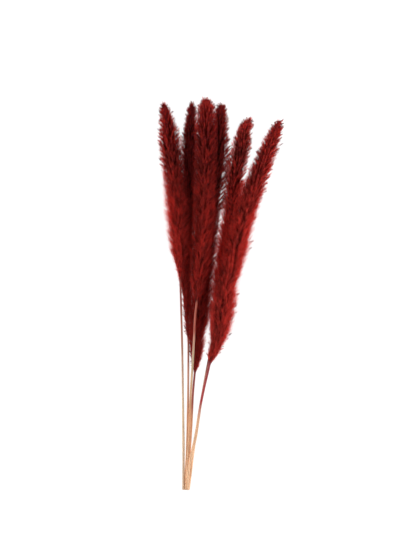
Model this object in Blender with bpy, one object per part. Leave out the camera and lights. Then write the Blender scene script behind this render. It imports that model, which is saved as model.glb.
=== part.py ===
"""A bunch of six dried pampas plumes, dyed wine red, lying flat on a surface.

Each grass is one bare cut stem and one plume. The stems lie together at their cut ends and
fan out towards the plumes. Plumes 2, 4 and 5 lie on the surface, and 1, 3 and 6 lie on them.

Frame: metres, +Z up, +Y from the cut ends to the plume tips, +X across the fan. The origin is
under the middle of the bunch, on the surface that it lies on. Tables are in millimetres of a
bunch 600 mm long, and BUNCH_LENGTH scales them all.
"""
from dataclasses import dataclass

import bpy
import numpy as np

# Driving dimensions, in metres from here on
BUNCH_LENGTH = 0.6            # cut ends to the highest tip
MM = BUNCH_LENGTH / 600
CUT_Y = -BUNCH_LENGTH / 2     # where all six stems are cut off
FLATNESS = 0.72               # height over width of a plume that lies down
CORE_SHARE = 0.52             # radius of a plume's dense middle over the plume's own
CORE_POINT = 8 * MM           # how far the dense middle stops short of the plume's tip
TIP_ROOM = 30 * MM            # stretch below a plume's tip where its tufts grow shorter
TUFT_LENGTH = 16 * MM         # how far a tuft's tip lies above its root, along the plume
TUFT_SPREAD = (0.82, 1.18)    # shortest and longest tuft over that length
TUFT_REACH = (0.9, 1.07)      # how near the tips come to the plume's outline
TUFT_STRAY = 0.18             # sideways stray of the tips, in columns
ROW_STEP = 6 * MM             # between the rows of tufts
COLUMNS = 16                  # grid columns round a plume, with a tuft in every other one
TWIST = 0.13                  # columns that the rows of tufts turn from row to row
STEM_RING_STEP = 22 * MM      # between the rings of a stem
STEM_SIDES = 8
SURFACE_GAP = 0.3 * MM        # a tuft that would dip under the surface lies this far over it
JOIN_GAP = 0.3 * MM           # between a stem's top and the plume that it carries
PAD_LENGTH = 16 * MM          # a tuft that the weight presses flat on the surface
PAD_WIDTH = 7 * MM
PAD_PLACES = (40 * MM, 190 * MM)
PAD_OUTLINE = np.array([         # across and along, in pad widths and lengths
    (0.0, -0.5), (0.5, -0.2), (0.4, 0.25), (0.0, 0.5), (-0.4, 0.25), (-0.5, -0.2)])

PLUME_RED = (0.27, 0.016, 0.016, 1.0)
STEM_TAN = (0.63, 0.39, 0.20, 1.0)


@dataclass
class Grass:
    """One stem with its plume. A route is points (x, y, z) in millimetres, in order of y."""
    number: int
    stem_route: list       # from the cut end to the foot of the plume
    plume_route: list      # from the foot of the plume to its tip
    stem_radii: tuple      # at the cut end and at the plume, in millimetres
    plume_radius: float    # half the plume's full width, in millimetres
    foot_taper: float      # length over which the plume widens from its foot
    foot_power: float      # below 1 for a full foot, above 1 for a slender one
    tip_taper: float       # length over which it narrows to its tip
    tip_power: float       # near 0.5 for a round tip, higher for a pointed one
    lies_on_surface: bool


GRASSES = [
    Grass(
        number=1,
        stem_route=[(-57.15, -300, 4.95), (-56.7, -254, 8.7), (-57.1, -190, 13.2),
                    (-58.4, -85, 21.0), (-61.2, 18, 27.6)],
        plume_route=[(-61.2, 18, 27.6), (-60.8, 60, 29.0), (-64.0, 113, 29.6),
                     (-69.4, 174, 26.0), (-76.8, 220, 20.5), (-81.5, 262, 16.0),
                     (-88.0, 294, 14.0)],
        stem_radii=(1.7, 1.5), plume_radius=16.6, foot_taper=64, foot_power=1.35,
        tip_taper=78, tip_power=0.75,
        lies_on_surface=False),
    Grass(
        number=2,
        stem_route=[(-55.55, -300, 1.8), (-53.6, -277, 2.5), (-52.0, -254, 3.3),
                    (-49.8, -162, 6.4), (-49.2, -72, 9.2)],
        plume_route=[(-49.2, -72, 9.2), (-51.8, -40, 9.6), (-53.1, 5, 9.8),
                     (-52.0, 67, 9.9), (-49.7, 144, 9.9), (-46.6, 220, 9.9),
                     (-45.6, 262, 10.2), (-42.8, 294, 11.0)],
        stem_radii=(1.7, 1.55), plume_radius=13.0, foot_taper=160, foot_power=1.3,
        tip_taper=75, tip_power=0.7,
        lies_on_surface=True),
    Grass(
        number=3,
        stem_route=[(-53.6, -300, 5.2), (-51.7, -277, 7.2), (-49.9, -254, 9.2),
                    (-46.0, -162, 17.0), (-40.4, -70, 25.2), (-38.6, -34, 28.6),
                    (-36.4, -14, 30.4)],
        plume_route=[(-36.4, -14, 30.4), (-33.6, 24, 32.6), (-29.8, 67, 33.6),
                     (-25.4, 120, 33.6), (-24.4, 180, 33.6), (-22.2, 250, 33.4),
                     (-21.6, 300, 33.0)],
        stem_radii=(1.75, 1.6), plume_radius=16.2, foot_taper=85, foot_power=0.7,
        tip_taper=38, tip_power=0.5,
        lies_on_surface=False),
    Grass(
        number=4,
        stem_route=[(-52.0, -300, 1.85), (-49.2, -277, 2.9), (-47.2, -240, 4.4),
                    (-44.6, -200, 6.8), (-41.6, -145, 9.6), (-39.4, -121, 10.6)],
        plume_route=[(-39.4, -121, 10.6), (-35.8, -72, 11.2), (-30.2, -9, 11.4),
                     (-22.4, 67, 11.5), (-13.0, 144, 11.5), (-4.0, 220, 11.6),
                     (-0.6, 266, 12.0), (1.6, 293, 12.6)],
        stem_radii=(1.7, 1.6), plume_radius=15.4, foot_taper=110, foot_power=0.8,
        tip_taper=68, tip_power=0.55,
        lies_on_surface=True),
    Grass(
        number=5,
        stem_route=[(-48.65, -300, 1.6), (-45.6, -277, 2.4), (-43.0, -254, 3.3),
                    (-29.6, -162, 6.8), (-13.0, -72, 10.0)],
        plume_route=[(-13.0, -72, 10.0), (-6.0, -40, 10.2), (-0.8, -9, 10.3),
                     (8.4, 67, 10.4), (16.4, 120, 10.4), (21.0, 174, 10.4),
                     (31.4, 222, 10.6), (36.9, 251, 11.0), (44.8, 271, 11.6)],
        stem_radii=(1.5, 1.4), plume_radius=14.2, foot_taper=100, foot_power=0.7,
        tip_taper=50, tip_power=0.5,
        lies_on_surface=True),
    Grass(
        number=6,
        stem_route=[(-50.0, -300, 7.3), (-49.3, -277, 10.9), (-45.9, -254, 13.3),
                    (-39.0, -223, 15.9), (-29.1, -162, 20.8), (-16.8, -107, 25.6)],
        plume_route=[(-16.8, -107, 25.6), (-4.0, -70, 28.4), (2.2, -38, 30.8), (10.6, 18, 31.8),
                     (20.6, 55, 31.2), (34.6, 110, 29.4), (52.4, 165, 26.2), (72.6, 220, 20.6),
                     (91.8, 267, 16.4)],
        stem_radii=(2.1, 1.9), plume_radius=18.2, foot_taper=92, foot_power=0.7,
        tip_taper=92, tip_power=0.6,
        lies_on_surface=False),
]


def smooth_route(route, y):
    """Centre points at the heights y: cubic Hermite curves through the route's points."""
    points = np.array(route) * MM
    knots = points[:, 1]
    slopes = np.gradient(points, knots, axis=0)
    i = np.clip(np.searchsorted(knots, y) - 1, 0, len(knots) - 2)
    step = (knots[i + 1] - knots[i])[:, None]
    t = (y[:, None] - knots[i][:, None]) / step
    start = points[i] * (1 + 2 * t) * (1 - t) ** 2 + slopes[i] * step * t * (1 - t) ** 2
    end = points[i + 1] * (3 - 2 * t) * t ** 2 + slopes[i + 1] * step * (t - 1) * t ** 2
    return start + end


def swell(distance, taper, power):
    """Rises from 0 to 1 as distance grows from 0 to taper, as a power of a quarter sine."""
    part = np.clip(distance / (taper * MM), 0, 1)
    return np.sin(part * np.pi / 2) ** power


def plume_half_width(grass, y):
    """The plume's half width across the fan at the heights y."""
    foot = grass.plume_route[0][1] * MM
    tip = grass.plume_route[-1][1] * MM
    shape = (swell(y - foot, grass.foot_taper, grass.foot_power)
             * swell(tip - y, grass.tip_taper, grass.tip_power))
    return grass.plume_radius * MM * shape


def ring_stations(start, end, step):
    count = int(np.ceil((end - start) / step)) + 1
    return np.linspace(start, end, count)


def oval(angle):
    """Directions round a plume's flattened oval section, in the plane across Y."""
    flat = np.zeros(np.shape(angle))
    return np.stack([np.cos(angle), flat, FLATNESS * np.sin(angle)], axis=-1)


def mesh_object(name, points, faces, material):
    mesh = bpy.data.meshes.new(name)
    mesh.from_pydata(points.tolist(), [], faces)
    mesh.materials.append(material)
    thing = bpy.data.objects.new(name, mesh)
    bpy.context.scene.collection.objects.link(thing)
    return thing


def ring_faces(rings, sides):
    """Quads between rings of points, and a flat face at each end, all facing out."""
    faces = []
    for ring in range(rings - 1):
        low = ring * sides
        for k in range(sides):
            after = (k + 1) % sides
            faces.append((low + k, low + after, low + sides + after, low + sides + k))
    faces.append(tuple(reversed(range(sides))))
    faces.append(tuple(range((rings - 1) * sides, rings * sides)))
    return [tuple(reversed(face)) for face in faces]


def plain_material(name, colour, roughness):
    material = bpy.data.materials.new(name)
    material.use_nodes = True
    shader = material.node_tree.nodes["Principled BSDF"]
    shader.inputs["Base Color"].default_value = colour
    shader.inputs["Roughness"].default_value = roughness
    shader.inputs["Metallic"].default_value = 0.0
    return material


def make_stem(grass):
    """A tapered tube with a flat side down, from the cut end to just under the plume."""
    top = grass.stem_route[-1][1] * MM - JOIN_GAP
    y = ring_stations(CUT_Y, top, STEM_RING_STEP)
    centres = smooth_route(grass.stem_route, y)
    centres[:, 1] = y
    low, high = grass.stem_radii
    radii = MM * np.linspace(low, high, len(y))
    turn = 2 * np.pi * (np.arange(STEM_SIDES) + 0.5) / STEM_SIDES
    around = np.stack([np.cos(turn), np.zeros(STEM_SIDES), np.sin(turn)], axis=-1)
    points = centres[:, None, :] + radii[:, None, None] * around
    name = f"stem_{grass.number}"
    material = plain_material(name, STEM_TAN, 0.55)
    stem = mesh_object(name, points.reshape(-1, 3), ring_faces(len(y), STEM_SIDES), material)
    stem.data.shade_smooth()
    stem.data.set_sharp_from_angle(angle=np.radians(50))


def make_tufted_body(grass, material):
    """A plume: a dense oval middle whose surface is raised into pointed tufts.

    The surface is a grid of rows along the plume and columns round it. Odd grid points lie on
    the dense middle. Even ones are tuft tips, drawn out to the plume's outline and up along it,
    so that each tuft is a leaning four-sided spike on a diamond of its four neighbours.
    """
    rng = np.random.default_rng(40 + grass.number)
    foot = grass.plume_route[0][1] * MM
    tip = grass.plume_route[-1][1] * MM
    rows = ring_stations(foot, tip - CORE_POINT, ROW_STEP)
    last = len(rows) - 1
    row, column = np.meshgrid(np.arange(last + 1), np.arange(COLUMNS), indexing="ij")
    peak = ((row + column) % 2 == 0) & (row > 0) & (row < last)
    size = row.shape
    lean = np.where(peak, TUFT_LENGTH * rng.uniform(*TUFT_SPREAD, size), 0)
    reach = np.where(peak, rng.uniform(*TUFT_REACH, size), CORE_SHARE)
    stray = np.where(peak, rng.normal(0, TUFT_STRAY, size), 0)
    y = rows[row] + lean * np.clip((tip - rows[row]) / TIP_ROOM, 0, 1)
    stalk = (grass.stem_radii[1] + np.where(peak, 2.1, 0.4)) * MM
    radius = np.maximum(reach * plume_half_width(grass, y.ravel()).reshape(size), stalk)
    turn = 2 * np.pi * (column + TWIST * row + stray) / COLUMNS
    centre = smooth_route(grass.plume_route, y.ravel()).reshape(size + (3,))
    points = (centre + radius[..., None] * oval(turn)).reshape(-1, 3)
    points[:, 2] = np.maximum(points[:, 2], SURFACE_GAP)
    apex = smooth_route(grass.plume_route, np.array([tip]))
    return mesh_object(f"plume_{grass.number}", np.concatenate([points, apex]),
                       tufted_faces(last + 1), material)


def tufted_faces(rows):
    """Two triangles to a grid cell, split between its two points that are not tuft tips."""
    faces = [tuple(range(COLUMNS))]
    for row in range(rows - 1):
        for k in range(COLUMNS):
            after = (k + 1) % COLUMNS
            a, b = row * COLUMNS + k, row * COLUMNS + after
            c, d = a + COLUMNS, b + COLUMNS
            if (row + k) % 2 == 0:
                faces += [(a, c, b), (c, d, b)]
            else:
                faces += [(a, d, b), (a, c, d)]
    apex = rows * COLUMNS
    for k in range(COLUMNS):
        faces.append(((rows - 1) * COLUMNS + k, apex, (rows - 1) * COLUMNS + (k + 1) % COLUMNS))
    return faces


def make_pads(grass, material):
    """Tufts under the plume that its weight presses flat on the surface, at z = 0.

    Each is a sole of the pad's outline, joined to a half-size copy of it inside the plume.
    """
    pads = []
    size = np.array([PAD_WIDTH, PAD_LENGTH])
    for place in PAD_PLACES:
        x, y, z = smooth_route(grass.plume_route, np.array([place]))[0]
        corners = PAD_OUTLINE * size
        root = corners / 2 - (0, 0.3 * PAD_LENGTH)
        sole = [(x + across, y + along, 0.0) for across, along in corners]
        inside = [(x + across, y + along, z) for across, along in root]
        points = np.array(sole + inside)
        pads.append(mesh_object("pad", points, ring_faces(2, len(corners)), material))
    return pads


def outward(thing):
    """Turns a convex piece's faces so that they all point out."""
    mesh = thing.data
    middle = sum((v.co for v in mesh.vertices), start=mesh.vertices[0].co * 0)
    middle /= len(mesh.vertices)
    for face in mesh.polygons:
        if face.normal.dot(face.center - middle) < 0:
            face.flip()
    mesh.update()


def fuse(body, repeats):
    """Joins the repeats to the body in one Boolean union and removes them."""
    group = bpy.data.collections.new(body.name + "_repeats")
    bpy.context.scene.collection.children.link(group)
    for piece in repeats:
        outward(piece)
        bpy.context.scene.collection.objects.unlink(piece)
        group.objects.link(piece)
    union = body.modifiers.new("Fuse", "BOOLEAN")
    union.operation = "UNION"
    union.operand_type = "COLLECTION"
    union.collection = group
    union.solver = "MANIFOLD"
    graph = bpy.context.evaluated_depsgraph_get()
    fused = bpy.data.meshes.new_from_object(body.evaluated_get(graph))
    body.modifiers.clear()
    body.data = fused
    for piece in repeats:
        mesh = piece.data
        bpy.data.objects.remove(piece)
        bpy.data.meshes.remove(mesh)
    bpy.data.collections.remove(group)


def make_plume(grass):
    material = plain_material(f"plume_{grass.number}", PLUME_RED, 0.9)
    body = make_tufted_body(grass, material)
    if grass.lies_on_surface:
        fuse(body, make_pads(grass, material))


def main():
    for thing in list(bpy.data.objects):
        bpy.data.objects.remove(thing)
    for grass in GRASSES:
        make_stem(grass)
        make_plume(grass)


main()
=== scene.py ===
"""Looks of the dried pampas grass bunch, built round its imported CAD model.

Six dyed plumes on bare stems lie on a white surface, and the camera looks straight down on
them. Each plume is made as it grows: a stalk, branches that rise round it in rows, pointed
husks on the branches, and fine down, a few dozen hairs to a branch. Branches stand at the same
places as the tufts of the CAD plumes, so both have one form.

Units are metres, +Z up, +Y from the cut ends to the plume tips. Tables are in millimetres.
"""
from dataclasses import dataclass

import bpy
import numpy as np
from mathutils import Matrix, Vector


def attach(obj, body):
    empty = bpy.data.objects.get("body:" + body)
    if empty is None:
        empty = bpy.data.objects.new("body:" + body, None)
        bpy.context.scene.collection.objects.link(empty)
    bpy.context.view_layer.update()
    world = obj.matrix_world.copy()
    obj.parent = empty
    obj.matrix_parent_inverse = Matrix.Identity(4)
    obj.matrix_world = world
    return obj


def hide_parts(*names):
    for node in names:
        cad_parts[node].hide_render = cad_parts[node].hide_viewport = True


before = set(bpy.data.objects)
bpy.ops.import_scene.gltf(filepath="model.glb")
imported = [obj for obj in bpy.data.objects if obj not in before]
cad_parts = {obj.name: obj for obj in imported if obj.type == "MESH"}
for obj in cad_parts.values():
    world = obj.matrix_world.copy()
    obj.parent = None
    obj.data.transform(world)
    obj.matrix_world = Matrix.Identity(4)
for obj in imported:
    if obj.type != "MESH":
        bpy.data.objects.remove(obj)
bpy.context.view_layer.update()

# Sizes that the CAD model has too
BUNCH_LENGTH = 0.6
MM = BUNCH_LENGTH / 600
CUT_Y = -BUNCH_LENGTH / 2  # where all six stems are cut off
FLATNESS = 0.72            # height over width of a plume that lies down
CORE_POINT = 8 * MM
TIP_ROOM = 30 * MM
TUFT_LENGTH = 16 * MM
TUFT_SPREAD = (0.82, 1.18)
TUFT_REACH = (0.9, 1.07)
TUFT_STRAY = 0.18
ROW_STEP = 6 * MM
COLUMNS = 16
TWIST = 0.13

# The down, the husks, the stems and the floor
BRANCH_SHARE = 0.95        # how far out a branch ends, over its tuft's reach
FILLER_SHARE = 0.86        # the same for the branches between the tufts
BRANCH_RISE = 22 * MM      # along the stalk, from a branch's root to its end
HAIR_HALF_WIDTH = 0.13 * MM
HAIR_DENSITY = 11.8        # hairs per square millimetre of half width times length
STRAY_HAIRS = 38           # hairs of a branch that stands clear of the outline
HAZE_HAIRS = 42
BRUSHED_FROM = 0.86        # share of the outline past which hair ends are drawn in
BRUSHED_KEPT = 0.42        # how much of the rest they keep
SURFACE_CLEARANCE = 0.15 * MM
CROWN_BRANCHES = 26
SPIKES = 2                 # points in which a branch's hairs meet, a main one and another
SPIKE_LENGTH = (4.4, 7.6)  # in mm, as the husks' sizes are
HUSK_LENGTH = (3.4, 5.6)
HUSK_HALF_WIDTH = (0.52, 0.82)
STEM_RINGS = 90
STEM_SIDES = 14
FLOOR_GLOW = 0.97


@dataclass
class Grass:
    """One stem with its plume. A route is points (x, y, z) in millimetres, in order of y.

    The stem's route goes on to the plume's first point.
    """
    number: int
    stem_route: list
    plume_route: list
    stem_radii: tuple
    plume_radius: float
    foot_taper: float
    foot_power: float    # below 1 for a full foot, above 1 for a slender one
    tip_taper: float
    tip_power: float     # near 0.5 for a round tip, higher for a pointed one
    crisp_from: float    # share of the plume's length above which its down is short
    loose: float         # share of the hairs that stand clear of the brushed outline
    shade: list          # (y in mm, shade) of the down, 0 deep to 1 pale: the dye's tone along the plume with painted light and shade, lifted where a plume lies in another's shadow
    fade: tuple          # painted light and shade added at the left and the right side: lighter on an outer side, darker beside a neighbour
    colours: dict        # deep, full, pale and tip colours of the dyed down
    stem_colours: list   # (y in mm, colour) along the stem
    strays: list         # (x, y) in mm of branch ends that stand clear of the outline
    edge: list           # (y, left, top, right): how pale the hair ends are there, 0 to 1; painted light, the glow of light through thin ends where the plume meets the bright floor, low where it lies against another plume
    haze: list = ()      # lines ((x, y), (x, y), count, fringe light) of thin ends with no husks; fringe light is painted light on their ends, as in edge
    bulges: list = ()    # (y, side, amount, length) in mm: fuller there, or less if below 0
    bare: tuple = ()     # (y, y, side): between these heights that side has spikes alone

    def __post_init__(self):
        self.foot, self.tip = self.plume_route[0][1] * MM, self.plume_route[-1][1] * MM


BRIGHT_DYE = dict(deep=(0.016, 0.0006, 0.0007), full=(0.15, 0.0048, 0.0038),
                  pale=(0.58, 0.03, 0.022), tip=(0.94, 0.12, 0.094))
# Plumes 2 and 4, which lie behind the others: a darker dye and painted shade.
DARK_DYE_AND_SHADE = dict(deep=(0.008, 0.0005, 0.0006), full=(0.078, 0.0027, 0.0024),
                pale=(0.35, 0.015, 0.012), tip=(0.9, 0.115, 0.092))
# Plume 5's: its pale and tip colours are set very bright, painted light that lifts its lower part,
# which lies in plume 6's shadow.
MIDDLE_DYE_AND_LIGHT = dict(deep=(0.012, 0.0005, 0.0006), full=(0.118, 0.0039, 0.0032),
                  pale=(0.88, 0.066, 0.05), tip=(0.96, 0.16, 0.125))
# Plume 6's: a brighter pale and tip than BRIGHT_DYE, painted light on its lit right side.
WARM_DYE_AND_LIGHT = BRIGHT_DYE | dict(pale=(0.69, 0.047, 0.035), tip=(0.95, 0.134, 0.104))
HUSK_DYE = dict(deep=(0.06, 0.002, 0.004), full=(0.15, 0.006, 0.009),
                pale=(0.3, 0.014, 0.018), tip=(0.13, 0.006, 0.012))
STALK_DYE = dict(deep=(0.07, 0.008, 0.01), full=(0.16, 0.016, 0.016),
                 pale=(0.36, 0.035, 0.028), tip=(0.3, 0.02, 0.018))

TAN = (0.87, 0.53, 0.31)
ORANGE_TAN = (0.66, 0.31, 0.15)
BEIGE = (0.7, 0.48, 0.32)
GREEN_TAN = (0.5, 0.37, 0.22)
PINK_TAN = (0.52, 0.25, 0.17)
BROWN = (0.42, 0.16, 0.11)
RUST = (0.36, 0.065, 0.035)
DARK_RUST = (0.24, 0.028, 0.018)
PALE_BEIGE = (0.61, 0.43, 0.27)
PINK_BEIGE = (0.49, 0.29, 0.195)
DULL_BROWN = (0.33, 0.118, 0.068)
RUST_BROWN = (0.3, 0.075, 0.045)
DARK_CRIMSON = (0.22, 0.01, 0.013)
DYED_RED = (0.2, 0.012, 0.012)
CRIMSON = (0.33, 0.021, 0.021)
SAND = (0.66, 0.37, 0.21)

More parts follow.
